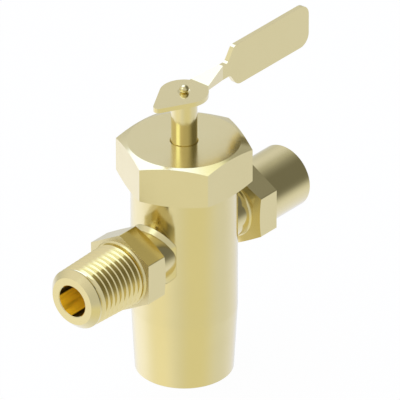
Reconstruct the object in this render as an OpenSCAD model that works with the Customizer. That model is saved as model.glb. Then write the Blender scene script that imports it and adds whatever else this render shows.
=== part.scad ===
// Quarter-turn shut-off valve: a round brass body with a screwed hexagon bonnet,
// a drive stem with a flag lever, and two screwed hexagon end fittings in line.
// The origin is the centre of the flat base. +Z is up along the stem and +X
// runs along the flow, from the male inlet to the female outlet.

/* [Body] */
// Diameter of the straight upper part of the body
body_d = 22.8; // [21.6:0.1:25]
// Diameter of the body at its base, below the taper
base_d = 21.2; // [18:0.1:22.4]
// Height of the tapered lower part
taper_h = 15.1; // [8:0.1:19]
// Height of the port axis above the base
port_h = 31.75; // [28:0.25:40]
// Height from the port axis to the top face of the body
head_h = 13.65; // [13.4:0.05:18]
// Bevel on the rim of the base
base_bevel = 0.2; // [0.1:0.05:0.6]

/* [Bonnet] */
// Width of the bonnet across its flats
bonnet_af = 25.4; // [24.8:0.1:30]
// Height of the bonnet's hexagon
bonnet_h = 9.45; // [8:0.05:14]
// Slope of the bevels on the hexagon's corners, in degrees
bonnet_bevel_a = 20; // [12:1:30]
// Distance from the flats in to the bevel's inner circle
bonnet_land = 0.65; // [0.2:0.05:1.5]
// Thread diameter of the bonnet's spigot
spigot_d = 17.4; // [16.6:0.1:18]
// Length of the spigot below the hexagon
spigot_l = 7; // [6.5:0.1:7.2]
// Outer diameter of the bonnet gasket
bonnet_gasket_d = 20.3; // [19.6:0.1:20.8]
// Thickness of the bonnet gasket
bonnet_gasket_t = 1; // [0.6:0.1:1.6]
// Bevel on the foot of the spigot
spigot_bevel = 0.6; // [0.3:0.1:0.9]
// Bevel at the mouth of the bonnet's stem bore
stem_mouth = 0.2; // [0.1:0.05:0.5]

/* [Ball and seats] */
// Diameter of the ball
ball_d = 12.7; // [12.3:0.1:13]
// Diameter of the flow way through the whole valve
flow_d = 7.1; // [5.5:0.1:7.3]
// Height of the ball's upper and lower flats from its centre
ball_flat_h = 5.9; // [5.7:0.05:6]
// Depth of the drive slot in the ball
slot_h = 1.5; // [1:0.05:1.7]
// Space between the ball and the wall of its chamber
chamber_gap = 0.4; // [0.3:0.05:0.5]
// Outer diameter of a seat ring
seat_d = 9.6; // [9:0.1:9.8]
// How far the back of a seat ring stands outside the ball
seat_back = 0.65; // [0.5:0.05:0.9]
// Free height of a seat's disc spring
spring_h = 0.8; // [0.6:0.05:1]
// Sheet thickness of a disc spring
spring_t = 0.3; // [0.2:0.05:0.4]
// Thickness of a port gasket
port_gasket_t = 0.4; // [0.3:0.05:0.5]
// Diameter of the ball's lower trunnion
trunnion_d = 4.6; // [3.8:0.1:5]
// Wall of the bush round the trunnion
bush_wall = 1.15; // [0.8:0.05:1.4]
// Length of the bush
bush_l = 3.4; // [2.5:0.1:5]
// Thickness of the washer under the ball
lower_washer_t = 1; // [0.6:0.1:1.5]
// Outer diameter of the washer under the ball
lower_washer_d = 9; // [8:0.1:11]

/* [Stem] */
// Diameter of the stem
stem_d = 5.65; // [5.2:0.05:6]
// Length of stem that shows between bonnet and lever
stem_rise = 10.7; // [7:0.1:16]
// Diameter of the stem's collar inside the bonnet
collar_d = 10; // [9.6:0.1:10.4]
// Thickness of the collar
collar_t = 1.8; // [1.2:0.1:2]
// Depth of the recess for the collar in the bonnet
collar_recess = 3; // [2.8:0.1:3.6]
// Thickness of the washer above the collar
upper_washer_t = 0.6; // [0.4:0.05:0.7]
// Outer diameter of the washer above the collar
upper_washer_d = 7.2; // [6.8:0.1:7.4]
// Diameter of the stem below the collar
root_d = 7.6; // [7:0.1:8.4]
// Thickness of the tang that turns the ball
tang_t = 2.6; // [2:0.1:3.2]
// Width of the tang
tang_w = 7; // [5:0.1:7.2]
// Diameter of the pin that stops the stem
stop_pin_d = 1.2; // [1:0.05:1.3]
// Distance of the stop pin from the stem's axis
stop_pin_r = 4.4; // [4.3:0.05:4.5]
// Length of the stop pin that is pressed into the bonnet
stop_pin_grip = 2.5; // [1.5:0.1:3]
// Angle through which the stem turns, in degrees
turn_a = 90; // [80:1:100]
// Section diameter of the stem's sealing rings
ring_d = 0.88; // [0.7:0.02:0.92]
// Height of the lower sealing ring above the collar recess
ring_low_h = 3; // [2:0.1:4]
// Distance between the two sealing rings
ring_pitch = 4; // [2.5:0.1:5]
// Side of the square that turns the lever
square_w = 3.2; // [2.6:0.1:3.6]
// Height of that square
square_h = 0.5; // [0.3:0.05:0.6]
// Bevel round the stem's upper end
stem_bevel = 0.15; // [0.1:0.05:0.3]

/* [Lever] */
// Thickness of the lever's sheet
lever_t = 1.05; // [0.9:0.05:1.6]
// Diameter of the lever's hub
hub_d = 10.4; // [9:0.1:13]
// Distance from the stem's axis to the tail's rounded end
tail_l = 8.4; // [6.5:0.1:12]
// Radius of the tail's rounded end
tail_r = 1.1; // [0.8:0.1:2.4]
// Width of the arm where it leaves the hub
arm_w = 4.8; // [3.5:0.1:6]
// Distance from the stem's axis to the start of the neck
neck_x = 5.1; // [4.9:0.1:8]
// Length of the neck, where the flat arm becomes an upright one
neck_l = 7; // [4:0.1:12]
// Height of the upright arm behind the blade
tab_h = 3.4; // [2.4:0.1:4.4]
// Length of the upright arm up to the foot of the blade's upper shoulder
tab_l = 1.6; // [1.2:0.1:6]
// Height of the blade
blade_h = 9.8; // [9:0.1:14]
// Length of the blade
blade_l = 26.9; // [18:0.1:40]
// Radius of the blade's outer corners and of its lower shoulder
blade_r = 2.7; // [1:0.1:3]
// Slope of the blade's shoulders, in degrees
shoulder_a = 56; // [45:1:65]
// Radius at the foot of each shoulder and at the top of the upper one
shoulder_r = 1.2; // [0.6:0.1:1.5]
// How much further out the lower shoulder starts than the upper one
shoulder_skew = 0.9; // [0:0.1:2]
// Diameter of the rivet's shank
rivet_d = 1.6; // [1.2:0.05:1.9]
// Diameter of the rivet's round head
rivet_head_d = 2; // [1.7:0.05:2.6]
// Height of the head's widest part above the lever
rivet_head_h = 0.55; // [0.4:0.05:0.7]
// Length of rivet in the stem
rivet_l = 3.8; // [2.5:0.1:6]

/* [End fittings] */
// Width of the fittings' hexagons across their flats
port_af = 15.9; // [15.2:0.1:19]
// Length of the fittings' hexagons
port_hex_l = 6.1; // [4:0.1:9]
// Slope of the bevel on the hexagon's inner corners, in degrees
port_bevel_a = 18; // [12:1:30]
// Diameter of the raised collar inside that bevel
port_face_d = 12.7; // [12.5:0.1:14]
// Height of that collar
port_face_l = 0.4; // [0.2:0.1:0.8]
// Diameter of the plain waist between the collar and the body
waist_d = 11.9; // [11.4:0.1:12.3]
// Thread diameter of the shank that screws into the body
shank_d = 11; // [10.6:0.1:11.2]
// Distance from the side of the body to the hexagon
port_gap = 3.6; // [2:0.1:6]
// Diameter of the spot face round each port in the body
spot_d = 14; // [13:0.1:16]
// Depth of that spot face below the side of the body
spot_depth = 1.7; // [1.2:0.1:2]
// Outer diameter of the inlet's tapered thread at its small end
inlet_thread_d = 13.3; // [12.4:0.1:14]
// Thread pitch of the inlet
inlet_pitch = 1.411; // [1:0.01:1.8]
// Number of full threads on the inlet
inlet_turns = 9; // [6:1:14]
// Length of the bevelled nose in front of the first thread
inlet_nose_l = 1.9; // [1.2:0.1:3]
// Diameter of the inlet's flat end face
inlet_face_d = 10.8; // [9.6:0.1:11.4]
// Width of the relief groove between the inlet's thread and hexagon
inlet_relief_l = 0.9; // [0.4:0.1:2]
// Outer diameter of the outlet's socket
socket_d = 14.2; // [12.8:0.1:15]
// Length of the outlet's socket past its hexagon
socket_l = 12.3; // [9:0.1:18]
// Diameter of the tapped hole in the outlet
tapped_d = 8.7; // [8:0.1:9.6]
// Depth of the tapped hole
tapped_l = 9.5; // [6:0.1:14]
// Bevel at the mouth of the tapped hole
mouth_bevel = 0.8; // [0.4:0.1:1.2]

/* [Fits] */
// Radial clearance of screwed and pressed pieces
fit_gap = 0.03; // [0.02:0.01:0.05]
// Clearance of pieces that turn against each other
run_gap = 0.05; // [0.03:0.01:0.08]
// Clearance at the blind end of a bore or slot
end_gap = 0.2; // [0.1:0.05:0.3]

/* [Hidden] */
$fn = 96;
// Overshoot that keeps a cut clear of the face it starts from
cut = 1;
// Taper of the inlet's thread: rise of the radius for each unit of length
taper_rise = 1 / 32;
// Share of the pitch taken by the depth of a thread, and by its flat crest and root
thread_depth = 0.8;
thread_flat = 0.06;

// Heights
body_h = port_h + head_h;
bonnet_top = body_h + bonnet_h;
spigot_z = body_h - spigot_l;
recess_z = spigot_z + collar_recess;
collar_top = recess_z - upper_washer_t - run_gap;
collar_z = collar_top - collar_t;
ball_top = port_h + ball_flat_h;
ball_bottom = port_h - ball_flat_h;
tang_z = ball_top - slot_h + run_gap;
floor_z = ball_bottom - run_gap - lower_washer_t;
bush_z = floor_z - bush_l;
stem_top = bonnet_top + stem_rise;
lever_mid = stem_top + lever_t / 2;

// Distances from the stem's axis along a port
ball_r = ball_d / 2;
chamber_r = ball_r + chamber_gap;
seat_x = ball_r + seat_back;
shank_x = seat_x + spring_h;
shoulder_x = shank_x - port_gasket_t;
spot_x = body_d / 2 - spot_depth;
hex_x = body_d / 2 + port_gap;
hex_end_x = hex_x + port_hex_l;
thread_l = inlet_nose_l + inlet_turns * inlet_pitch + inlet_relief_l;
inlet_x = hex_end_x + thread_l;
outlet_x = hex_end_x + socket_l;

// Lever stations along +X
neck_end = neck_x + neck_l;
blade_x = neck_end + tab_l;
blade_end = blade_x + blade_l;

// Circle radius through the corners of a hexagon of that width across flats
function corner_r(af) = af / 2 / cos(30);

// Half of the angle that the stop pin takes up in the collar's notch, in degrees
function pin_half_a() = asin((stop_pin_d / 2 + run_gap) / stop_pin_r);

// A ring of rectangular section on the Z axis
module ring(outer_d, inner_d, h) {
    difference() {
        cylinder(d = outer_d, h = h);
        translate([0, 0, -cut])
            cylinder(d = inner_d, h = h + 2 * cut);
    }
}

// A round sealing ring on the Z axis, centred on the origin
module seal_ring(inner_d, section_d) {
    rotate_extrude()
        translate([(inner_d + section_d) / 2, 0])
            circle(d = section_d, $fn = 48);
}

// Turns a port piece that is drawn outward along +Z on to its side of the valve
module on_port(side) {
    translate([0, 0, port_h])
        rotate([0, side * 90, 0])
            children();
}

// A hexagon bar on the Z axis with both ends bevelled from a circle
module bevelled_hexagon(af, land, bevel_a, h) {
    face_r = af / 2 - land;
    rim_r = corner_r(af) + cut;
    drop = (rim_r - face_r) * tan(bevel_a);
    intersection() {
        cylinder(r = corner_r(af), h = h, $fn = 6);
        rotate_extrude()
            polygon([
                [0, 0],
                [face_r, 0],
                [rim_r, drop],
                [rim_r, h - drop],
                [face_r, h],
                [0, h],
            ]);
    }
}

// The barrel: a straight top on a tapered foot
module barrel() {
    rotate_extrude()
        polygon([
            [0, 0],
            [base_d / 2 - base_bevel, 0],
            [base_d / 2, base_bevel],
            [body_d / 2, taper_h],
            [body_d / 2, body_h],
            [0, body_h],
        ]);
}

// The bore from above: gasket step, bonnet thread, ball chamber and bush seat
module body_bore() {
    translate([0, 0, body_h - bonnet_gasket_t])
        cylinder(d = bonnet_gasket_d + 2 * fit_gap, h = bonnet_gasket_t + cut);
    translate([0, 0, spigot_z - end_gap])
        cylinder(d = spigot_d + 2 * fit_gap, h = spigot_l + end_gap + cut);
    translate([0, 0, floor_z])
        cylinder(r = chamber_r, h = spigot_z - floor_z);
    translate([0, 0, bush_z - end_gap])
        cylinder(d = bush_d() + 2 * fit_gap, h = bush_l + end_gap + cut);
}

function bush_d() = trunnion_d + 2 * run_gap + 2 * bush_wall;

// One side port: a spot face, a threaded bore and a narrower pocket for the seat ring
module port_bore() {
    cylinder(d = seat_d + 2 * fit_gap, h = body_d);
    translate([0, 0, shoulder_x])
        cylinder(d = shank_d + 2 * fit_gap, h = body_d);
    translate([0, 0, spot_x])
        cylinder(d = spot_d, h = body_d);
}

module body() {
    color("goldenrod")
        difference() {
            barrel();
            body_bore();
            for (side = [-1, 1])
                on_port(side)
                    port_bore();
        }
}

// Bonnet: a hexagon head over a screwed spigot, bored for the stem
module bonnet() {
    color("goldenrod")
        difference() {
            union() {
                translate([0, 0, body_h])
                    bevelled_hexagon(bonnet_af, bonnet_land, bonnet_bevel_a, bonnet_h);
                translate([0, 0, spigot_z])
                    cylinder(d1 = spigot_d - 2 * spigot_bevel, d2 = spigot_d, h = spigot_bevel);
                translate([0, 0, spigot_z + spigot_bevel])
                    cylinder(d = spigot_d, h = spigot_l - spigot_bevel + cut);
            }
            translate([0, 0, spigot_z - cut])
                cylinder(d = stem_d + 2 * run_gap, h = bonnet_top - spigot_z + 2 * cut);
            translate([0, 0, spigot_z - cut])
                cylinder(d = collar_d + 2 * end_gap, h = collar_recess + cut);
            translate([0, 0, bonnet_top - stem_mouth])
                cylinder(
                    d1 = stem_d + 2 * run_gap,
                    d2 = stem_d + 2 * (run_gap + stem_mouth + cut),
                    h = stem_mouth + cut
                );
            stop_pin_hole();
        }
}

module stop_pin_hole() {
    translate([stop_pin_r, 0, recess_z - cut])
        cylinder(d = stop_pin_d + 2 * fit_gap, h = stop_pin_grip + end_gap + cut, $fn = 32);
}

module bonnet_gasket() {
    color("peru")
        translate([0, 0, body_h - bonnet_gasket_t])
            ring(bonnet_gasket_d, spigot_d + 4 * fit_gap, bonnet_gasket_t);
}

// Shank, waist, collar and hexagon that both end fittings share, drawn outward along +Z
module fitting_root() {
    face_r = port_face_d / 2;
    rim_r = corner_r(port_af) + cut;
    waist_x = spot_x + fit_gap;
    translate([0, 0, shank_x])
        cylinder(d = shank_d, h = waist_x - shank_x + cut / 2);
    translate([0, 0, waist_x])
        cylinder(d = waist_d, h = hex_x - waist_x + cut);
    translate([0, 0, hex_x - port_face_l])
        cylinder(d = port_face_d, h = port_face_l + cut);
    intersection() {
        translate([0, 0, hex_x])
            cylinder(r = corner_r(port_af), h = port_hex_l, $fn = 6);
        rotate_extrude()
            polygon([
                [0, hex_x],
                [face_r, hex_x],
                [rim_r, hex_x + (rim_r - face_r) * tan(port_bevel_a)],
                [rim_r, hex_end_x],
                [0, hex_end_x],
            ]);
    }
}

// Radius of the inlet's thread crests, x being the distance from its small end
function crest_r(x) = inlet_thread_d / 2 + x * taper_rise;
function root_r(x) = crest_r(x) - thread_depth * inlet_pitch;

// Section of one thread ridge that starts at x: root, crest, crest, root
function ridge(x) = [
    [root_r(x), x],
    [crest_r(x), x + inlet_pitch * (0.5 - thread_flat)],
    [crest_r(x), x + inlet_pitch * (0.5 + thread_flat)],
    [root_r(x), x + inlet_pitch],
];

// The inlet's male thread, as a turned profile from its nose at z = 0
module inlet_thread() {
    thread_end = inlet_nose_l + inlet_turns * inlet_pitch;
    ridges = [
        for (i = [0:inlet_turns - 1])
            each ridge(inlet_nose_l + i * inlet_pitch)
    ];
    rotate_extrude()
        polygon(concat(
            [
                [0, 0],
                [inlet_face_d / 2, 0],
                [crest_r(0) - thread_flat, inlet_nose_l - inlet_pitch / 2],
            ],
            ridges,
            [
                [root_r(thread_end), thread_l + cut],
                [0, thread_l + cut],
            ]
        ));
}

module inlet_fitting() {
    color("gold")
        on_port(-1)
            difference() {
                union() {
                    fitting_root();
                    translate([0, 0, inlet_x])
                        mirror([0, 0, 1])
                            inlet_thread();
                }
                cylinder(d = flow_d, h = inlet_x + cut);
            }
}

module outlet_fitting() {
    color("gold")
        on_port(1)
            difference() {
                union() {
                    fitting_root();
                    translate([0, 0, hex_end_x - cut])
                        cylinder(d = socket_d, h = socket_l + cut);
                }
                cylinder(d = flow_d, h = outlet_x + cut);
                translate([0, 0, outlet_x - tapped_l])
                    cylinder(d = tapped_d, h = tapped_l + cut);
                translate([0, 0, outlet_x - mouth_bevel])
                    cylinder(
                        d1 = tapped_d,
                        d2 = tapped_d + 2 * (mouth_bevel + cut),
                        h = mouth_bevel + cut
                    );
            }
}

// Flat ring that seals a fitting's shank against the shoulder in the body
module port_gasket(side) {
    color("peru")
        on_port(side)
            translate([0, 0, shoulder_x])
                ring(shank_d, seat_d + 4 * fit_gap, port_gasket_t);
}

module inlet_gasket() {
    port_gasket(-1);
}

module outlet_gasket() {
    port_gasket(1);
}

// Seat ring, dished to the ball
module seat(side) {
    color("white")
        on_port(side)
            difference() {
                cylinder(d = seat_d, h = seat_x);
                translate([0, 0, -cut])
                    cylinder(d = flow_d, h = seat_x + 2 * cut);
                sphere(r = ball_r + run_gap);
            }
}

module inlet_seat() {
    seat(-1);
}

module outlet_seat() {
    seat(1);
}

// Coned disc spring between a seat ring and the end of the fitting's shank
module seat_spring(side) {
    inner_r = flow_d / 2 + fit_gap;
    outer_r = seat_d / 2 - fit_gap;
    color("silver")
        on_port(side)
            rotate_extrude()
                polygon([
                    [inner_r, seat_x],
                    [outer_r, shank_x - spring_t],
                    [outer_r, shank_x],
                    [inner_r, seat_x + spring_t],
                ]);
}

module inlet_seat_spring() {
    seat_spring(-1);
}

module outlet_seat_spring() {
    seat_spring(1);
}

// Ball with its flow way, drive slot and lower trunnion
module ball() {
    color("silver") {
        translate([0, 0, port_h])
            difference() {
                intersection() {
                    sphere(r = ball_r);
                    translate([0, 0, -ball_flat_h])
                        cylinder(r = ball_r + cut, h = 2 * ball_flat_h);
                }
                rotate([0, 90, 0])
                    cylinder(d = flow_d, h = ball_d + 2 * cut, center = true);
                translate([0, 0, ball_flat_h - slot_h])
                    translate([-ball_d, -tang_t / 2 - run_gap, 0])
                        cube([2 * ball_d, tang_t + 2 * run_gap, slot_h + cut]);
            }
        translate([0, 0, bush_z])
            cylinder(d = trunnion_d, h = ball_bottom - bush_z + end_gap);
    }
}

module ball_bush() {
    color("white")
        translate([0, 0, bush_z])
            ring(bush_d(), trunnion_d + 2 * run_gap, bush_l);
}

module lower_thrust_washer() {
    color("white")
        translate([0, 0, floor_z])
            ring(lower_washer_d, trunnion_d + 2 * run_gap, lower_washer_t);
}

// Sector of the collar that is cut away, so that the stop pin ends the turn
module stop_notch() {
    reach = collar_d;
    half_a = pin_half_a();
    rotate([0, 0, -half_a])
        rotate_extrude(angle = turn_a + 2 * half_a)
            translate([stop_pin_r - stop_pin_d / 2 - run_gap, -cut])
                square([reach, collar_t + 2 * cut]);
}

// Groove in the stem for a sealing ring at height z
module ring_groove(z) {
    translate([0, 0, z - ring_d / 2 - run_gap])
        ring(stem_d + cut, groove_d(), ring_d + 2 * run_gap);
}

function groove_d() = stem_d - 2 * ring_d + 2 * fit_gap;
ring_low_z = recess_z + ring_low_h;
ring_high_z = ring_low_z + ring_pitch;

// Stem: tang, collar with its stop notch, two ring grooves and the lever's square
module stem() {
    color("goldenrod")
        difference() {
            union() {
                translate([-tang_w / 2, -tang_t / 2, tang_z])
                    cube([tang_w, tang_t, collar_z - tang_z]);
                translate([0, 0, ball_top + end_gap])
                    cylinder(d = root_d, h = collar_z - ball_top - end_gap + cut / 2);
                translate([0, 0, collar_z])
                    cylinder(d = collar_d, h = collar_t);
                translate([0, 0, collar_z])
                    cylinder(d = stem_d, h = stem_top - stem_bevel - collar_z);
                translate([0, 0, stem_top - stem_bevel])
                    cylinder(d1 = stem_d, d2 = stem_d - 2 * stem_bevel, h = stem_bevel);
                translate([-square_w / 2, -square_w / 2, stem_top - cut])
                    cube([square_w, square_w, square_h + cut]);
            }
            translate([0, 0, collar_z])
                stop_notch();
            ring_groove(ring_low_z);
            ring_groove(ring_high_z);
            translate([0, 0, stem_top - rivet_l - end_gap])
                cylinder(d = rivet_d + 2 * fit_gap, h = rivet_l + end_gap + cut, $fn = 48);
        }
}

module upper_thrust_washer() {
    color("white")
        translate([0, 0, recess_z - upper_washer_t])
            ring(upper_washer_d, stem_d + 2 * run_gap, upper_washer_t);
}

module stop_pin() {
    color("silver")
        translate([stop_pin_r, 0, collar_z + end_gap])
            cylinder(d = stop_pin_d, h = recess_z + stop_pin_grip - collar_z - end_gap, $fn = 32);
}

module lower_stem_seal() {
    color("dimgray")
        translate([0, 0, ring_low_z])
            seal_ring(groove_d() + 2 * fit_gap, ring_d - 2 * fit_gap);
}

module upper_stem_seal() {
    color("dimgray")
        translate([0, 0, ring_high_z])
            seal_ring(groove_d() + 2 * fit_gap, ring_d - 2 * fit_gap);
}

// Angle of the point where the tail's straight side touches the hub
function tail_a() = 180 - acos((hub_d / 2 - tail_r) / tail_l);

// Plan of the flat hub, its tail and the root of the arm
module hub_plan() {
    side = [cos(tail_a()), sin(tail_a())];
    mirrored = [side[0], -side[1]];
    tail = [-tail_l, 0];
    circle(d = hub_d);
    translate(tail)
        circle(r = tail_r);
    polygon([
        side * hub_d / 2,
        tail + side * tail_r,
        tail + mirrored * tail_r,
        mirrored * hub_d / 2,
    ]);
    translate([0, -arm_w / 2])
        square([neck_x, arm_w]);
}

// Neck: the arm narrows from side to side as it grows from flat to upright
module neck() {
    corners = [[-1, -1], [1, -1], [1, 1], [-1, 1]] / 2;
    points = concat(
        [for (c = corners) [neck_x, c[0] * arm_w, c[1] * lever_t]],
        [for (c = corners) [neck_end, c[0] * lever_t, c[1] * tab_h]]
    );
    near = [0, 1, 2, 3];
    far = [4, 5, 6, 7];
    sides = [
        for (i = near)
            let (next = (i + 1) % 4)
                [near[next], near[i], far[i], far[next]]
    ];
    polyhedron(points = points, faces = concat([near, [for (i = [3:-1:0]) far[i]]], sides));
}

// Side view of the upright arm and blade, along +X with its middle at y = 0
module blade_plan() {
    translate([neck_end, -tab_h / 2])
        square([tab_l + shoulder_skew, tab_h]);
    shoulder_fillet(blade_x);
    mirror([0, 1])
        shoulder_fillet(blade_x + shoulder_skew);
    hull() {
        polygon([
            [blade_x, tab_h / 2],
            [blade_end - blade_r, 0],
            [blade_x + shoulder_skew, -tab_h / 2],
        ]);
        shoulder_corner(blade_x, shoulder_r);
        mirror([0, 1])
            shoulder_corner(blade_x + shoulder_skew, blade_r);
        for (side = [-1, 1])
            translate([blade_end - blade_r, side * (blade_h / 2 - blade_r)])
                circle(r = blade_r);
    }
}

// Round corner at the top of the shoulder whose foot is at x
module shoulder_corner(x, r) {
    rise = blade_h / 2 - r - tab_h / 2;
    translate([x + (r + rise * cos(shoulder_a)) / sin(shoulder_a), blade_h / 2 - r])
        circle(r = r);
}

// Hollow at the foot of the shoulder at x, where its slope leaves the upright arm
module shoulder_fillet(x) {
    run = shoulder_r * tan(shoulder_a / 2);
    difference() {
        polygon([
            [x - run, tab_h / 2],
            [x - run, 0],
            [x + 2 * run, 0],
            [x + run * cos(shoulder_a), tab_h / 2 + run * sin(shoulder_a)],
        ]);
        translate([x - run, tab_h / 2 + shoulder_r])
            circle(r = shoulder_r, $fn = 64);
    }
}

// Lever: flat hub, drawn-out neck and upright blade, all in one piece
module lever() {
    color("goldenrod")
        difference() {
            union() {
                translate([0, 0, stem_top])
                    linear_extrude(lever_t)
                        hub_plan();
                translate([0, 0, lever_mid]) {
                    neck();
                    rotate([90, 0, 0])
                        translate([0, 0, -lever_t / 2])
                            linear_extrude(lever_t)
                                blade_plan();
                }
            }
            translate([0, 0, stem_top - cut])
                cylinder(d = rivet_d + 2 * fit_gap, h = lever_t + 2 * cut, $fn = 48);
            translate([0, 0, stem_top - cut])
                square_socket();
        }
}

// Square recess in the lever's underside, a little deeper than the stem's square
module square_socket() {
    w = square_w + 2 * fit_gap;
    translate([-w / 2, -w / 2, 0])
        cube([w, w, square_h + fit_gap + cut]);
}

// Rivet: a plain shank under a ball-shaped head
module lever_rivet() {
    lever_top = stem_top + lever_t;
    color("gold") {
        translate([0, 0, stem_top - rivet_l])
            cylinder(d = rivet_d, h = rivet_l + lever_t + rivet_head_h, $fn = 48);
        translate([0, 0, lever_top])
            intersection() {
                translate([0, 0, rivet_head_h])
                    sphere(d = rivet_head_d, $fn = 64);
                cylinder(d = rivet_head_d + cut, h = rivet_head_d * 2, $fn = 48);
            }
    }
}

body();
bonnet();
bonnet_gasket();
inlet_fitting();
outlet_fitting();
inlet_gasket();
outlet_gasket();
inlet_seat();
outlet_seat();
inlet_seat_spring();
outlet_seat_spring();
ball();
ball_bush();
lower_thrust_washer();
stem();
upper_thrust_washer();
stop_pin();
lower_stem_seal();
upper_stem_seal();
lever();
lever_rivet();
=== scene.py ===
import math

import bmesh
import bpy
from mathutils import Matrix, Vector


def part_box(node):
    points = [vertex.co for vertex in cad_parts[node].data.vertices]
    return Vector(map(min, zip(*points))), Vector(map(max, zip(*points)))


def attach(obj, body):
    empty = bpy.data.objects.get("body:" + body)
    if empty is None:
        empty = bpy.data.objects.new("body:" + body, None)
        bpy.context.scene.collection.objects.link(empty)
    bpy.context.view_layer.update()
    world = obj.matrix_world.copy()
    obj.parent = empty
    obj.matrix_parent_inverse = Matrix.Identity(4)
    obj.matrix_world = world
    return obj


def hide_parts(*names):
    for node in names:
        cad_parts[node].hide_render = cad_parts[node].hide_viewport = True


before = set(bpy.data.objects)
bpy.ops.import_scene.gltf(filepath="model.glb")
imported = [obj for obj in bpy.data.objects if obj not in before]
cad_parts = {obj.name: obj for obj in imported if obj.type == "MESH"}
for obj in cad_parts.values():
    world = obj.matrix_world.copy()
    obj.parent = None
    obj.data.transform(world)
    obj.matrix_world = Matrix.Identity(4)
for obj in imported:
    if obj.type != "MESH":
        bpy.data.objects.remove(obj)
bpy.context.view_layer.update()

# Body
# A barrel of free-cutting brass, straight above and tapered towards its flat foot.
# It is turned from bar, bored from above, spot-faced at both ports and then polished.
MM = 0.001
upright = Vector((0, 0, 1))
seat_low, seat_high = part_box("inlet_seat")
port_centre = Vector((0, 0, (seat_low.z + seat_high.z) / 2))
bar_shades = ((0.775, 0.675, 0.36), (0.755, 0.65, 0.33))
bright_finish = (0.09, 0.15)
fine_marks = 0.0006 * MM


def shader_group(name, inputs, outputs):
    """An empty shader group with these sockets; returns it with its two end nodes."""
    group = bpy.data.node_groups.new(name, "ShaderNodeTree")
    for direction, sockets in (("INPUT", inputs), ("OUTPUT", outputs)):
        for socket, kind in sockets.items():
            group.interface.new_socket(socket, in_out=direction, socket_type="NodeSocket" + kind)
    return group, group.nodes.new("NodeGroupInput"), group.nodes.new("NodeGroupOutput")


def feed(group, node, values):
    """Gives a node's first inputs these values, each a number, a tuple or another socket."""
    for socket, value in zip(node.inputs, values):
        if isinstance(value, bpy.types.NodeSocket):
            group.links.new(value, socket)
        else:
            socket.default_value = value


def math_node(group, operation, *values):
    """The result of a sum in a group."""
    node = group.nodes.new("ShaderNodeMath")
    node.operation = operation
    feed(group, node, values)
    return node.outputs[0]


def vector_node(group, operation, *values):
    """The result of a sum with vectors in a group, which is a number for a length or a dot."""
    node = group.nodes.new("ShaderNodeVectorMath")
    node.operation = operation
    feed(group, node, values)
    return node.outputs["Value" if operation in ("LENGTH", "DOT_PRODUCT") else "Vector"]


def mix_colours(group, factor, first, second):
    """A colour between two others, which go into the colour sockets of a mix node."""
    mix = group.nodes.new("ShaderNodeMix")
    mix.data_type = "RGBA"
    group.links.new(factor, mix.inputs["Factor"])
    group.links.new(first, mix.inputs[6])
    group.links.new(second, mix.inputs[7])
    return mix.outputs[2]


def cast_tone_group():
    """Soft cloudy drift between two shades, as in polished bar stock."""
    group, given, out = shader_group(
        "cast_tone",
        {"Position": "Vector", "Clear": "Color", "Deep": "Color", "Clouds per metre": "Float"},
        {"Colour": "Color"},
    )
    clouds = group.nodes.new("ShaderNodeTexNoise")
    clouds.inputs["Detail"].default_value = 4
    clouds.inputs["Roughness"].default_value = 0.6
    group.links.new(given.outputs["Position"], clouds.inputs["Vector"])
    group.links.new(given.outputs["Clouds per metre"], clouds.inputs["Scale"])
    tone = mix_colours(group, clouds.outputs["Fac"], given.outputs["Clear"], given.outputs["Deep"])
    group.links.new(tone, out.inputs["Colour"])
    return group


def turning_marks_group():
    """Fine rings left by the lathe: they follow the axis on a side and the radius on a face."""
    group, given, out = shader_group(
        "turning_marks",
        {"Position": "Vector", "Centre": "Vector", "Axis": "Vector", "Marks per metre": "Float"},
        {"Height": "Float"},
    )
    axis = given.outputs["Axis"]
    offset = vector_node(group, "SUBTRACT", given.outputs["Position"], given.outputs["Centre"])
    along = vector_node(group, "DOT_PRODUCT", offset, axis)
    radius = vector_node(group, "LENGTH", vector_node(group, "CROSS_PRODUCT", offset, axis))
    travel = math_node(group, "ADD", along, radius)
    marks = group.nodes.new("ShaderNodeTexNoise")
    marks.noise_dimensions = "1D"
    marks.inputs["Detail"].default_value = 3
    marks.inputs["Scale"].default_value = 1
    passes = math_node(group, "MULTIPLY", travel, given.outputs["Marks per metre"])
    group.links.new(passes, marks.inputs["W"])
    group.links.new(marks.outputs["Fac"], out.inputs["Height"])
    return group


def handling_group():
    """Roughness that drifts between freshly buffed metal and metal that has been handled."""
    group, given, out = shader_group(
        "handling",
        {"Position": "Vector", "Buffed": "Float", "Handled": "Float", "Prints per metre": "Float"},
        {"Roughness": "Float"},
    )
    prints = group.nodes.new("ShaderNodeTexNoise")
    prints.inputs["Detail"].default_value = 6
    prints.inputs["Distortion"].default_value = 0.6
    spread = group.nodes.new("ShaderNodeMapRange")
    spread.inputs["From Min"].default_value = 0.35
    spread.inputs["From Max"].default_value = 0.7
    link = group.links.new
    link(given.outputs["Position"], prints.inputs["Vector"])
    link(given.outputs["Prints per metre"], prints.inputs["Scale"])
    link(prints.outputs["Fac"], spread.inputs["Value"])
    link(given.outputs["Buffed"], spread.inputs["To Min"])
    link(given.outputs["Handled"], spread.inputs["To Max"])
    link(spread.outputs["Result"], out.inputs["Roughness"])
    return group


cast_tone = cast_tone_group()
turning_marks = turning_marks_group()
handling = handling_group()


def own_position(tree):
    """The object's own coordinates in a material."""
    node = tree.nodes.get("Texture Coordinate") or tree.nodes.new("ShaderNodeTexCoord")
    return node.outputs["Object"]


def place_group(tree, group, **values):
    """Puts a group in a material, fed with the object's own position."""
    node = tree.nodes.new("ShaderNodeGroup")
    node.node_tree = group
    tree.links.new(own_position(tree), node.inputs["Position"])
    for name, value in values.items():
        node.inputs[name.replace("_", " ")].default_value = value
    return node


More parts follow.
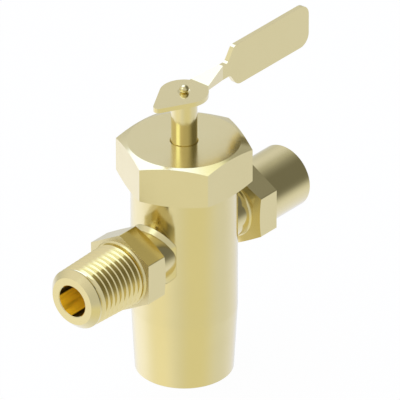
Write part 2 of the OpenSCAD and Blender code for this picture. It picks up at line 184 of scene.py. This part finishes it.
def new_material(name):
    """A material with its tree and its one shader."""
    material = bpy.data.materials.new(name)
    material.use_nodes = True
    tree = material.node_tree
    return material, tree, tree.nodes["Principled BSDF"]


def tint(tree, shader, clear, deep, clouds):
    """Lets the colour drift between two shades, with this many clouds to the metre."""
    tone = place_group(tree, cast_tone, Clear=(*clear, 1), Deep=(*deep, 1), Clouds_per_metre=clouds)
    tree.links.new(tone.outputs["Colour"], shader.inputs["Base Color"])


def wear(tree, shader, buffed, handled, prints):
    """Lets the roughness drift between buffed and handled, with this many prints to the metre."""
    touch = place_group(tree, handling, Buffed=buffed, Handled=handled, Prints_per_metre=prints)
    tree.links.new(touch.outputs["Roughness"], shader.inputs["Roughness"])


def emboss(tree, shader, height, depth):
    """Bumps the surface by a height that runs from 0 to 1 over this depth."""
    bump = tree.nodes.new("ShaderNodeBump")
    bump.inputs["Distance"].default_value = depth
    tree.links.new(height, bump.inputs["Height"])
    tree.links.new(bump.outputs["Normal"], shader.inputs["Normal"])


def brass(name, axis, centre, shades=bar_shades, finish=bright_finish, marks=fine_marks):
    """Brass with its drift of shade, its handled patches and lathe marks of this depth."""
    material, tree, shader = new_material(name)
    shader.inputs["Metallic"].default_value = 1
    tint(tree, shader, *shades, clouds=90)
    wear(tree, shader, *finish, prints=160)
    rings = place_group(tree, turning_marks, Centre=centre, Axis=axis, Marks_per_metre=3500)
    emboss(tree, shader, rings.outputs["Height"], marks)
    return material


def finish_node(name, material):
    """Gives a node from the frame its material."""
    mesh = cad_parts[name].data
    mesh.materials.clear()
    mesh.materials.append(material)


finish_node("body", brass("body_brass", upright, port_centre, finish=(0.12, 0.19)))

# Bonnet
# A hexagon head over a screwed spigot, milled from brass bar with bevelled corners.
# It is screwed down on the body with a spanner, on a thin ring of pressed fibre.
finish_node("bonnet", brass("bonnet_brass", upright, port_centre, finish=(0.16, 0.23)))


def pressed_fibre(name, clear, deep):
    """Vulcanised fibre sheet: matt, reddish brown, with a short felted grain."""
    material, tree, shader = new_material(name)
    shader.inputs["Roughness"].default_value = 0.75
    tint(tree, shader, clear, deep, clouds=2500)
    felt = tree.nodes.new("ShaderNodeTexNoise")
    felt.inputs["Scale"].default_value = 6000
    felt.inputs["Detail"].default_value = 5
    tree.links.new(own_position(tree), felt.inputs["Vector"])
    emboss(tree, shader, felt.outputs["Fac"], 0.02 * MM)
    return material


fibre = pressed_fibre("gasket_fibre", (0.42, 0.23, 0.13), (0.28, 0.14, 0.08))
for name in ("bonnet_gasket", "inlet_gasket", "outlet_gasket"):
    finish_node(name, fibre)

# Inlet fitting
# A hexagon with a male tapered pipe thread, turned and die-cut from brass bar.
# Its shank is screwed into the side of the body, and the flow enters through its bore.
body_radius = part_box("body")[1].x
inlet_low, inlet_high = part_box("inlet_fitting")
flow_axis = Vector((1, 0, 0))
flow_radius = 3.55 * MM
shank_start = -inlet_high.x
shank_radius = 5.5 * MM
spot_floor = body_radius - 1.69 * MM
spot_radius = 6.95 * MM
spot_play = 0.02 * MM
cone_rise = 0.8 * MM
waist_radius = 6 * MM
collar_radius = 6.35 * MM
collar_height = 0.4 * MM
collar_fillet = 0.2 * MM
hexagon_start = body_radius + 3.6 * MM
hexagon_length = 6.1 * MM
hexagon_end = hexagon_start + hexagon_length
flat_distance = (inlet_high.y - inlet_low.y) / 2
corner_round = 0.12 * MM
corner_slope = math.tan(math.radians(18))
edge_break = 0.08 * MM
inlet_tip = -inlet_low.x
tip_bevel = 1.4 * MM
tip_face_radius = 5.35 * MM
thread_tip_radius = 6.65 * MM
thread_taper = 1 / 32
thread_pitch = 1.411 * MM
thread_depth = 0.72 * thread_pitch
thread_fade = 1.5 * MM
thread_end = inlet_tip - tip_bevel
land_length = 0.75 * MM
land_fillet = 0.22 * MM
groove_half = 0.6 * land_fillet
groove_depth = 0.8 * land_fillet
thread_start = hexagon_end + land_length
crest_flat = 0.03
root_flat = 0.06
thread_stations = (0, root_flat, 0.25, 0.5 - crest_flat, 0.5 + crest_flat, 0.75, 1 - root_flat)
column_step = 2
weld_distance = 0.0002 * MM


def hexagon_distance(angle):
    """Distance from the axis to the hexagon's side; its corners are barely rounded."""
    half_side = math.radians(30)
    from_corner = math.radians(30 - abs(angle % 60 - 30))
    round_centre = (flat_distance - corner_round) / math.cos(half_side)
    touch = math.atan2(
        corner_round * math.sin(half_side), round_centre + corner_round * math.cos(half_side)
    )
    if from_corner >= touch:
        return flat_distance / math.cos(half_side - from_corner)
    sideways = round_centre * math.sin(from_corner)
    return round_centre * math.cos(from_corner) + math.sqrt(corner_round**2 - sideways**2)


def column_angles():
    """Angles of the columns round a fitting, close together at the hexagon's corners."""
    corner_turns = (-0.4, -0.2, 0, 0.2, 0.4)
    angles = {corner + turn for corner in range(0, 360, 60) for turn in corner_turns}
    angles.update(a for a in range(0, 360, column_step) if a % 60)
    return sorted(a % 360 for a in angles)


def finished_piece(name, shape, crease=24):
    """Turns a shape into a piece, smooth but for edges that bend more than the crease."""
    bmesh.ops.recalc_face_normals(shape, faces=shape.faces)
    for face in shape.faces:
        face.smooth = True
    for edge in shape.edges:
        edge.smooth = edge.calc_face_angle(0) < math.radians(crease)
    mesh = bpy.data.meshes.new(name)
    shape.to_mesh(mesh)
    shape.free()
    piece = bpy.data.objects.new(name, mesh)
    bpy.context.scene.collection.objects.link(piece)
    return piece


def skin(name, rows, angles, place):
    """A closed skin over rows that each give (distance out, radius) for an angle."""
    shape = bmesh.new()
    columns = [
        [shape.verts.new(place(angle, *row(angle))) for row in rows]
        for angle in (*angles, angles[0] + 360)
    ]
    for left, right in zip(columns, columns[1:]):
        for i in range(len(rows)):
            above = (i + 1) % len(rows)
            shape.faces.new((left[i], left[above], right[above], right[i]))
    bmesh.ops.remove_doubles(shape, verts=shape.verts, dist=weld_distance)
    bmesh.ops.dissolve_degenerate(shape, edges=shape.edges, dist=weld_distance)
    return finished_piece(name, shape)


def on_flow_axis(side):
    """Places a point of a fitting; angles run from the top towards the front."""

    def place(angle, out, radius):
        a = math.radians(angle)
        return port_centre + Vector((side * out, -radius * math.sin(a), radius * math.cos(a)))

    return place


def ring(out, radius):
    """A round row: the same distance out and radius at every angle."""
    return lambda angle: (out, radius)


def spot_rim(angle):
    """The rim of the spot face, where it meets the round side of the body."""
    across = abs(math.sin(math.radians(angle)))
    reach = math.sqrt(body_radius**2 - spot_floor**2) - spot_play
    radius = min(spot_radius, reach / across) if across else spot_radius
    return math.sqrt(body_radius**2 - (radius * across) ** 2), radius


def spot_corner(angle):
    """The corner at the foot of the spot face's wall."""
    return spot_floor, spot_rim(angle)[1]


def cone_top(angle):
    """The top of the coned flange, where it meets the waist."""
    out, radius = spot_rim(angle)
    steepness = cone_rise / (spot_radius - waist_radius)
    return out + steepness * (radius - waist_radius), waist_radius


def hexagon_chamfer(angle):
    """The slope that leads from the collar out to the hexagon's sides."""
    distance = hexagon_distance(angle)
    return hexagon_start + (distance - collar_radius) * corner_slope, distance


def hexagon_rim(angle):
    """The sharp outer edge of the hexagon."""
    return hexagon_end, hexagon_distance(angle)


# Rows of the shank, flange, waist, collar and hexagon, which both fittings share
root_rows = [
    ring(shank_start, flow_radius),
    ring(shank_start, shank_radius - 3 * edge_break),
    ring(shank_start + 3 * edge_break, shank_radius),
    ring(spot_floor, shank_radius),
    spot_corner,
    spot_rim,
    cone_top,
    ring(hexagon_start - collar_height - collar_fillet, waist_radius),
    ring(hexagon_start - collar_height, collar_radius - edge_break),
    ring(hexagon_start - collar_height + edge_break, collar_radius),
    ring(hexagon_start, collar_radius),
    hexagon_chamfer,
    hexagon_rim,
]


def smooth_step(x):
    x = min(max(x, 0), 1)
    return x * x * (3 - 2 * x)


def thread_height(turns):
    """Height of a thread from root, 0, to crest, 1, after a number of turns."""
    from_crest = abs(turns % 1 - 0.5)
    return 1 - min(max((from_crest - crest_flat) / (0.5 - crest_flat - root_flat), 0), 1)


def thread_rows(start, end, pitch, radius_at, side):
    """Rows that follow a right-handed thread between two distances out."""

    def row(turn):
        def at(angle):
            out = start + (turn + side * angle / 360) * pitch
            out = min(max(out, start), end)
            turns = (out - start) / pitch - side * angle / 360
            return out, radius_at(out, turns)

        return at

    count = math.ceil((end - start) / pitch) + 1
    return [row(turn + part) for turn in range(-1, count + 1) for part in thread_stations]


def inlet_crest(out):
    """Radius of the thread's crest, which tapers towards the tip."""
    return thread_tip_radius + (inlet_tip - out) * thread_taper


def inlet_thread_radius(out, turns):
    """Radius of the male thread, which fades in behind the bevelled tip."""
    cut_depth = thread_depth * smooth_step((thread_end - out) / thread_fade)
    return inlet_crest(out) - cut_depth * (1 - thread_height(turns))


land_start = hexagon_end + land_fillet
land_radius = inlet_crest(hexagon_end)
inlet_rows = [
    *root_rows,
    ring(hexagon_end, land_radius + land_fillet),
    ring(land_start, land_radius),
    ring(land_start + groove_half, land_radius - groove_depth),
    ring(land_start + 2 * groove_half, land_radius),
    ring(thread_start - edge_break, inlet_crest(thread_start)),
    *thread_rows(thread_start, thread_end, thread_pitch, inlet_thread_radius, -1),
    ring(inlet_tip - edge_break, tip_face_radius + edge_break),
    ring(inlet_tip, tip_face_radius),
    ring(inlet_tip, flow_radius + 2 * edge_break),
    ring(inlet_tip - 2 * edge_break, flow_radius),
]
inlet = skin("inlet_fitting_detailed", inlet_rows, column_angles(), on_flow_axis(-1))


def streaked_painted_bore_light_group():
    """Streaks of painted reflection along a bore, deep in colour, that end in painted shade on two
    dark sides.
    """
    group, given, out = shader_group(
        "streaked_painted_bore_light",
        {
            "Position": "Vector",
            "Centre": "Vector",
            "Dark side": "Vector",
            "Bright": "Color",
            "Deep": "Color",
        },
        {"Colour": "Color"},
    )
    offset = vector_node(group, "SUBTRACT", given.outputs["Position"], given.outputs["Centre"])
    drawn_out = vector_node(group, "MULTIPLY", offset, (0.12, 1, 1))
    streaks = group.nodes.new("ShaderNodeTexNoise")
    streaks.inputs["Scale"].default_value = 900
    streaks.inputs["Detail"].default_value = 4
    group.links.new(drawn_out, streaks.inputs["Vector"])
    across = vector_node(group, "MULTIPLY", offset, (0, 1, 1))
    radial = vector_node(group, "NORMALIZE", across)
    sideways = vector_node(group, "DOT_PRODUCT", radial, given.outputs["Dark side"])
    # Painted shade: dark where the wall's radial direction runs along the dark side, either way
    shade = group.nodes.new("ShaderNodeMapRange")
    shade.interpolation_type = "SMOOTHSTEP"
    shade.inputs["From Min"].default_value = 0.62
    shade.inputs["From Max"].default_value = 0.74
    shade.inputs["To Min"].default_value = 1
    shade.inputs["To Max"].default_value = 0
    group.links.new(math_node(group, "ABSOLUTE", sideways), shade.inputs["Value"])
    # Painted reflection: the streaks turn orange where no painted shade falls
    lit = math_node(group, "MULTIPLY", shade.outputs["Result"], streaks.outputs["Fac"])
    brightness = math_node(group, "MULTIPLY", lit, 1.7)
    colour = mix_colours(group, brightness, given.outputs["Deep"], given.outputs["Bright"])
    group.links.new(colour, out.inputs["Colour"])
    return group


def bored(name, bright, deep, dark_side):
    """A polished bore in painted light: streaks of painted reflection with a weak painted glow
    stand in for its many inner reflections, and painted shade darkens two sides.
    """
    material, tree, shader = new_material(name)
    shader.inputs["Roughness"].default_value = 0.35
    shader.inputs["Specular IOR Level"].default_value = 0.1
    # A weak painted glow in the same colour, though the bore is no lamp
    shader.inputs["Emission Strength"].default_value = 0.15
    streaks = place_group(
        tree,
        streaked_painted_bore_light_group(),
        Centre=port_centre,
        Dark_side=dark_side,
        Bright=(*bright, 1),
        Deep=(*deep, 1),
    )
    for socket in ("Base Color", "Emission Color"):
        tree.links.new(streaks.outputs["Colour"], shader.inputs[socket])
    return material


fitting_brass = brass("fitting_brass", flow_axis, port_centre)
# Orange painted reflection, near-black painted shade, and the direction of the sides that get the
# painted shade
bore_painted_reflection = bored("bore_painted_reflection", (1, 0.56, 0.02), (0.004, 0.002, 0.0005), (0, 0.665, 0.747))
faced_brass = brass(
    "faced_brass",
    flow_axis,
    port_centre,
    shades=((0.765, 0.68, 0.4), (0.745, 0.655, 0.37)),
    finish=(0.4, 0.5),
    marks=0.001 * MM,
)


def dress_fitting(piece, node):
    """Polished outside, bored inside with its painted reflection, faced at the hexagon's end; it
    stands for its node.
    """
    finishes = (fitting_brass, bore_painted_reflection, faced_brass)
    bore_reach = 1.02 * flow_radius
    end_play = 0.01 * MM
    for material in finishes:
        piece.data.materials.append(material)
    for face in piece.data.polygons:
        across = face.center - port_centre
        across.x = 0
        faces_the_end = abs(face.normal.x) > 0.9
        if across.length < bore_reach and not faces_the_end:
            face.material_index = finishes.index(bore_painted_reflection)
        elif abs(abs(face.center.x) - hexagon_end) < end_play:
            face.material_index = finishes.index(faced_brass)
    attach(piece, "housing")
    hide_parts(node)


dress_fitting(inlet, "inlet_fitting")

# Outlet fitting
# The same shank and hexagon, turned from brass bar, with a round socket in place of the thread.
# The socket is tapped with a tapered female thread for the outlet pipe.
outlet_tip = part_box("outlet_fitting")[1].x
socket_radius = 7.1 * MM
tapped_radius = 4.35 * MM
tapped_length = 9.5 * MM
mouth_bevel = 0.8 * MM
outlet_pitch = 0.941 * MM
outlet_depth = 0.7 * outlet_pitch
outlet_fade = 3 * outlet_pitch
tap_start = outlet_tip - tapped_length
tap_end = outlet_tip - mouth_bevel
drill_cone = 0.6 * MM


def outlet_thread_radius(out, turns):
    """Radius of the tapped hole, whose thread fades out towards its blind end."""
    cut_depth = outlet_depth * smooth_step((out - tap_start) / outlet_fade)
    return tapped_radius + cut_depth * (1 - thread_height(turns))


outlet_rows = [
    *root_rows,
    ring(hexagon_end, socket_radius),
    ring(outlet_tip - 2 * edge_break, socket_radius),
    ring(outlet_tip, socket_radius - 2 * edge_break),
    ring(outlet_tip, tapped_radius + mouth_bevel),
    *reversed(thread_rows(tap_start, tap_end, outlet_pitch, outlet_thread_radius, 1)),
    ring(tap_start - drill_cone, flow_radius),
]
outlet = skin("outlet_fitting_detailed", outlet_rows, column_angles(), on_flow_axis(1))
dress_fitting(outlet, "outlet_fitting")

# Ball, seats and springs
# A bored ball, chromed and lapped, turns between two moulded seat rings, on a moulded bush
# and washer. Coned steel springs behind the rings keep them pressed on the ball.


def plated(name, clear, deep, roughness):
    """Bright plated or drawn metal."""
    material, tree, shader = new_material(name)
    shader.inputs["Metallic"].default_value = 1
    tint(tree, shader, clear, deep, clouds=200)
    wear(tree, shader, roughness, roughness * 1.8, prints=400)
    return material


def moulded(name, clear, deep, roughness, grain_depth):
    """Moulded plastic or rubber with a fine grain."""
    material, tree, shader = new_material(name)
    tint(tree, shader, clear, deep, clouds=700)
    wear(tree, shader, roughness, roughness * 1.3, prints=500)
    grain = tree.nodes.new("ShaderNodeTexVoronoi")
    grain.inputs["Scale"].default_value = 9000
    tree.links.new(own_position(tree), grain.inputs["Vector"])
    emboss(tree, shader, grain.outputs["Distance"], grain_depth)
    return material


chrome = plated("ball_chrome", (0.72, 0.72, 0.74), (0.64, 0.65, 0.68), 0.05)
steel = plated("spring_steel", (0.58, 0.58, 0.6), (0.46, 0.46, 0.49), 0.22)
seat_plastic = moulded("seat_plastic", (0.86, 0.86, 0.83), (0.78, 0.78, 0.74), 0.38, 0.003 * MM)
finish_node("ball", chrome)
for name in ("inlet_seat", "outlet_seat", "ball_bush", "lower_thrust_washer"):
    finish_node(name, seat_plastic)
for name in ("inlet_seat_spring", "outlet_seat_spring"):
    finish_node(name, steel)

# Stem
# A turned brass spindle that drives the ball, with a collar that holds it in the bonnet.
# Two rubber rings seal it, a washer bears on its collar, and a steel pin ends its turn.
seal_rubber = moulded("seal_rubber", (0.035, 0.035, 0.037), (0.02, 0.02, 0.022), 0.55, 0.008 * MM)
finish_node("stem", brass("stem_brass", upright, port_centre))
finish_node("upper_thrust_washer", seat_plastic)
finish_node("stop_pin", steel)
for name in ("lower_stem_seal", "upper_stem_seal"):
    finish_node(name, seal_rubber)

# Lever
# One piece of brass plate: a round hub with a pointed tail, a neck that turns from
# flat to upright, and an upright blade. It sits on a square at the top of the stem.
lever_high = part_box("lever")[1]
stem_rise = 10.7 * MM
stem_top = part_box("bonnet")[1].z + stem_rise
plate = 1.05 * MM
plate_middle = stem_top + plate / 2
hub_radius = 5.2 * MM
tail_distance = 8.4 * MM
tail_radius = 1.1 * MM
arm_half = 2.4 * MM
neck_start = 5.1 * MM
neck_end = 12.1 * MM
tab_half = 1.7 * MM
upper_foot = 13.7 * MM
lower_foot = 14.6 * MM
blade_end = lever_high.x
blade_half = lever_high.z - plate_middle
blade_round = 2.7 * MM
shoulder_round = 1.2 * MM
shoulder_slope = math.radians(56)
rivet_radius = 0.8 * MM
dish_radius = 1.45 * MM
dish_depth = 0.13 * MM
square_half = 1.63 * MM
square_depth = 0.53 * MM
arc_step = 5


def arc(centre, radius, start, end):
    """Points on an arc from one direction to another, in degrees."""
    steps = max(2, round(abs(end - start) / arc_step))
    turns = [math.radians(start + (end - start) * i / steps) for i in range(steps + 1)]
    return [(centre[0] + radius * math.cos(t), centre[1] + radius * math.sin(t)) for t in turns]


def circle(radius):
    """Points once round a circle."""
    return arc((0, 0), radius, 0, 360 - arc_step)


def hub_outline():
    """Plan of the hub, from the arm's far corner round the tail to its near corner."""
    arm_angle = math.degrees(math.asin(arm_half / hub_radius))
    tail_angle = 180 - math.degrees(math.acos((hub_radius - tail_radius) / tail_distance))
    far_side = arc((0, 0), hub_radius, arm_angle, tail_angle)
    tail = arc((-tail_distance, 0), tail_radius, tail_angle, 360 - tail_angle)
    near_side = [(x, -y) for x, y in reversed(far_side)]
    return [(neck_start, arm_half), *far_side, *tail, *near_side, (neck_start, -arm_half)]


def shoulder(foot, top_round):
    """Side view of a shoulder, from its hollow foot to the blade's straight edge."""
    slope = math.degrees(shoulder_slope)
    run = shoulder_round * math.tan(shoulder_slope / 2)
    hollow = arc((foot - run, tab_half + shoulder_round), shoulder_round, -90, slope - 90)
    rise = blade_half - top_round - tab_half
    top = foot + (top_round + rise * math.cos(shoulder_slope)) / math.sin(shoulder_slope)
    crest = arc((top, blade_half - top_round), top_round, 90 + slope, 90)
    return hollow + crest


def blade_outline():
    """Side view of the arm's end and the blade, from its lower to its upper corner."""
    lower = [(x, -z) for x, z in shoulder(lower_foot, blade_round)]
    tip_x = blade_end - blade_round
    tip_z = blade_half - blade_round
    return [
        (neck_end, -tab_half),
        *lower,
        *arc((tip_x, -tip_z), blade_round, -90, 0),
        *arc((tip_x, tip_z), blade_round, 0, 90),
        *reversed(shoulder(upper_foot, shoulder_round)),
        (neck_end, tab_half),
    ]


def rim(shape, first, second, closed):
    """Walls between two like rows of points."""
    for i in range(len(first) if closed else len(first) - 1):
        after = (i + 1) % len(first)
        shape.faces.new((first[i], first[after], second[after], second[i]))


def loop_edges(shape, points):
    """The edges of a closed loop, made where they aren't there yet."""
    pairs = zip(points, points[1:] + points[:1])
    return [shape.edges.get(pair) or shape.edges.new(pair) for pair in pairs]


def plate_face(shape, outline, hole):
    """A flat face between an outline and the hole in it."""
    edges = loop_edges(shape, outline) + loop_edges(shape, hole)
    bmesh.ops.triangle_fill(shape, use_beauty=True, use_dissolve=False, edges=edges)


def lever_shape():
    """The hub with its dished hole and square socket, the blade, and the neck between them."""
    shape = bmesh.new()

    def hub_points(outline, height):
        return [shape.verts.new((x, y, stem_top + height)) for x, y in outline]

    def blade_points(y):
        return [shape.verts.new((x, y, plate_middle + z)) for x, z in blade_outline()]

    square = [(x * square_half, y * square_half) for x, y in ((-1, -1), (1, -1), (1, 1), (-1, 1))]
    top = hub_points(hub_outline(), plate)
    bottom = hub_points(hub_outline(), 0)
    dish_top = hub_points(circle(dish_radius), plate)
    hole_top = hub_points(circle(rivet_radius), plate - dish_depth)
    hole_low = hub_points(circle(rivet_radius), square_depth)
    square_top = hub_points(square, square_depth)
    square_low = hub_points(square, 0)
    rim(shape, top, bottom, closed=False)
    rim(shape, dish_top, hole_top, closed=True)
    rim(shape, hole_top, hole_low, closed=True)
    rim(shape, square_top, square_low, closed=True)
    plate_face(shape, top, dish_top)
    plate_face(shape, square_top, hole_low)
    plate_face(shape, bottom, square_low)

    far = blade_points(plate / 2)
    near = blade_points(-plate / 2)
    rim(shape, far, near, closed=False)
    shape.faces.new(far)
    shape.faces.new(near)
    hub_corners = [top[0], top[-1], bottom[-1], bottom[0]]
    blade_corners = [far[-1], near[-1], near[0], far[0]]
    rim(shape, hub_corners, blade_corners, closed=True)
    return shape


lever = finished_piece("lever_detailed", lever_shape(), crease=7)
broken_edges = lever.modifiers.new("broken_edges", "BEVEL")
broken_edges.limit_method = "ANGLE"
broken_edges.angle_limit = math.radians(30)
broken_edges.width = 0.07 * MM
broken_edges.segments = 3
broken_edges.harden_normals = True
lever.data.materials.append(brass("lever_brass", flow_axis, Vector((0, 0, plate_middle))))
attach(lever, "spindle")
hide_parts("lever")

# Lever rivet
# A brass rivet with a round head, set down through the lever into the end of the stem.
rivet_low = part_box("lever_rivet")[0]
lever_top = stem_top + plate
dish_floor = lever_top - dish_depth
head_radius = 1.0 * MM
head_rise = 0.62 * MM
head_middle = lever_top + head_rise
rivet_step = 6


def head_rows():
    """Rows of the round head, from the dish up, as (height, radius)."""
    contact = math.degrees(math.asin((dish_floor - head_middle) / head_radius))
    return [(head_middle + z, r) for r, z in arc((0, 0), head_radius, contact, 90)]


def on_stem(angle, height, radius):
    """Places a point of the rivet."""
    a = math.radians(angle)
    return Vector((radius * math.cos(a), radius * math.sin(a), height))


rivet_rows = [
    (rivet_low.z, 0),
    (rivet_low.z, rivet_radius - edge_break),
    (rivet_low.z + edge_break, rivet_radius),
    (dish_floor, rivet_radius),
    *head_rows()[:-1],
    (head_middle + head_radius, 0),
]
rivet_angles = range(0, 360, rivet_step)
rivet = skin("rivet_detailed", [ring(*row) for row in rivet_rows], rivet_angles, on_stem)
rivet.data.materials.append(brass("rivet_brass", upright, port_centre))
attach(rivet, "spindle")
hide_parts("lever_rivet")

# Ground and room
# The valve stands on a pale ground in a soft white room. A broad light hangs over it,
# a narrow one stands at its inlet end, and a dark screen gives the metal its contrast.
ground_half = 8
ground_gap = 0.02 * MM


def pale_ground(name, colour, glow_share):
    """Matt ground with a share of glow, which keeps it white in a soft light."""
    material = bpy.data.materials.new(name)
    material.use_nodes = True
    tree = material.node_tree
    tree.nodes.clear()
    matt = tree.nodes.new("ShaderNodeBsdfDiffuse")
    matt.inputs["Color"].default_value = (*colour, 1)
    glow = tree.nodes.new("ShaderNodeEmission")
    glow.inputs["Strength"].default_value = 1
    blend = tree.nodes.new("ShaderNodeMixShader")
    blend.inputs[0].default_value = glow_share
    tree.links.new(matt.outputs[0], blend.inputs[1])
    tree.links.new(glow.outputs[0], blend.inputs[2])
    surface = tree.nodes.new("ShaderNodeOutputMaterial")
    tree.links.new(blend.outputs[0], surface.inputs["Surface"])
    return material


ground_shape = bmesh.new()
bmesh.ops.create_grid(ground_shape, x_segments=1, y_segments=1, size=ground_half)
ground = finished_piece("ground", ground_shape)
ground.data.materials.append(pale_ground("pale_ground", (0.92, 0.92, 0.92), 0.975))
ground.location.z = -ground_gap
# The metal mirrors the room's own pale lower half in the ground's place
ground.visible_glossy = False


def compass(azimuth, height):
    """The direction of a place in the room, in degrees from the outlet's side and the floor."""
    a = math.radians(azimuth)
    h = math.radians(height)
    return Vector((math.cos(a) * math.cos(h), math.sin(a) * math.cos(h), math.sin(h)))


def soft_panel_group():
    """A round soft-edged panel laid over the light that is already there."""
    group, given, out = shader_group(
        "soft_panel",
        {
            "Direction": "Vector",
            "Towards": "Vector",
            "Edge start": "Float",
            "Edge end": "Float",
            "Around": "Color",
            "Panel": "Color",
        },
        {"Colour": "Color"},
    )
    aimed = vector_node(group, "DOT_PRODUCT", given.outputs["Direction"], given.outputs["Towards"])
    fade = group.nodes.new("ShaderNodeMapRange")
    fade.interpolation_type = "SMOOTHSTEP"
    fade.inputs["To Min"].default_value = 1
    fade.inputs["To Max"].default_value = 0
    group.links.new(math_node(group, "ARCCOSINE", aimed), fade.inputs["Value"])
    group.links.new(given.outputs["Edge start"], fade.inputs["From Min"])
    group.links.new(given.outputs["Edge end"], fade.inputs["From Max"])
    cover = fade.outputs["Result"]
    light = mix_colours(group, cover, given.outputs["Around"], given.outputs["Panel"])
    group.links.new(light, out.inputs["Colour"])
    return group


# Each panel: its azimuth and height, the angles from there at which its edge starts
# and ends, all in degrees, and its light
floor_light = (0.86, 0.89, 0.97)
floor_panels = (
    ((105, -35), (8, 66), (1.2, 1.24, 1.5)),
    ((165, -35), (0, 50), (1.07, 1.05, 0.93)),
    ((246, -35), (8, 52), (0.87, 0.85, 0.66)),
    ((0, -40), (5, 45), (0.94, 0.98, 1.2)),
)
wall_light = (0.7, 0.72, 0.75)
wall_panels = (
    ((58, 42), (14, 36), (0.83, 0.86, 0.98)),
    ((150, 30), (20, 75), (0.92, 0.92, 0.96)),
    ((-38, 22), (17, 72), (0.205, 0.205, 0.185)),
    ((165, 27), (5, 25), (1.75, 2.05, 2.3)),
    ((80, 64), (27, 34), (1.5, 1.8, 2.9)),
    ((14, 61), (5, 14), (1.3, 1.4, 1.3)),
)
skirting_low = math.radians(-35)
skirting_high = math.radians(-4)

world = bpy.data.worlds.new("soft_room")
world.use_nodes = True
bpy.context.scene.world = world
room = world.node_tree
room.nodes.clear()
direction = room.nodes.new("ShaderNodeTexCoord").outputs["Generated"]
soft_panel = soft_panel_group()


def lay_panels(light, panels):
    """Lays the panels one over the other and returns the socket of the last one."""
    below = None
    for place, (edge_start, edge_end), panel_light in panels:
        node = room.nodes.new("ShaderNodeGroup")
        node.node_tree = soft_panel
        room.links.new(direction, node.inputs["Direction"])
        node.inputs["Towards"].default_value = compass(*place)
        node.inputs["Edge start"].default_value = math.radians(edge_start)
        node.inputs["Edge end"].default_value = math.radians(edge_end)
        node.inputs["Panel"].default_value = (*panel_light, 1)
        node.inputs["Around"].default_value = (*light, 1)
        if below:
            room.links.new(below, node.inputs["Around"])
        below = node.outputs["Colour"]
    return below


# The room's pale lower half passes into its walls over the skirting
split = room.nodes.new("ShaderNodeSeparateXYZ")
room.links.new(direction, split.inputs[0])
skirting = room.nodes.new("ShaderNodeMapRange")
skirting.interpolation_type = "SMOOTHSTEP"
skirting.inputs["From Min"].default_value = math.sin(skirting_low)
skirting.inputs["From Max"].default_value = math.sin(skirting_high)
room.links.new(split.outputs["Z"], skirting.inputs["Value"])
floor_and_walls = mix_colours(
    room,
    skirting.outputs["Result"],
    lay_panels(floor_light, floor_panels),
    lay_panels(wall_light, wall_panels),
)
room_light = room.nodes.new("ShaderNodeBackground")
room.links.new(floor_and_walls, room_light.inputs["Color"])
sky = room.nodes.new("ShaderNodeOutputWorld")
room.links.new(room_light.outputs[0], sky.inputs["Surface"])

# Camera
# A long lens from the inlet side, a little above the valve, as in the photograph.
scene = bpy.context.scene
view_azimuth = math.radians(-50)
view_height = math.radians(29.8)
picture_width = 84.8 * MM
aim_right = 3.34 * MM
aim_up = 7.4 * MM
to_camera = Vector((
    math.sin(view_azimuth) * math.cos(view_height),
    -math.cos(view_azimuth) * math.cos(view_height),
    math.sin(view_height),
))
camera_right = Vector((math.cos(view_azimuth), math.sin(view_azimuth), 0))
camera_up = to_camera.cross(camera_right)
aim = port_centre + camera_right * aim_right + camera_up * aim_up
camera = bpy.data.objects.new("camera", bpy.data.cameras.new("camera"))
camera.data.lens = 1000
camera.data.sensor_width = 36
camera.data.clip_end = 20
camera.location = aim + to_camera * picture_width * camera.data.lens / camera.data.sensor_width
camera.rotation_mode = "QUATERNION"
camera.rotation_quaternion = (-to_camera).to_track_quat("-Z", "Y")
scene.collection.objects.link(camera)
scene.camera = camera
scene.view_settings.view_transform = "Standard"
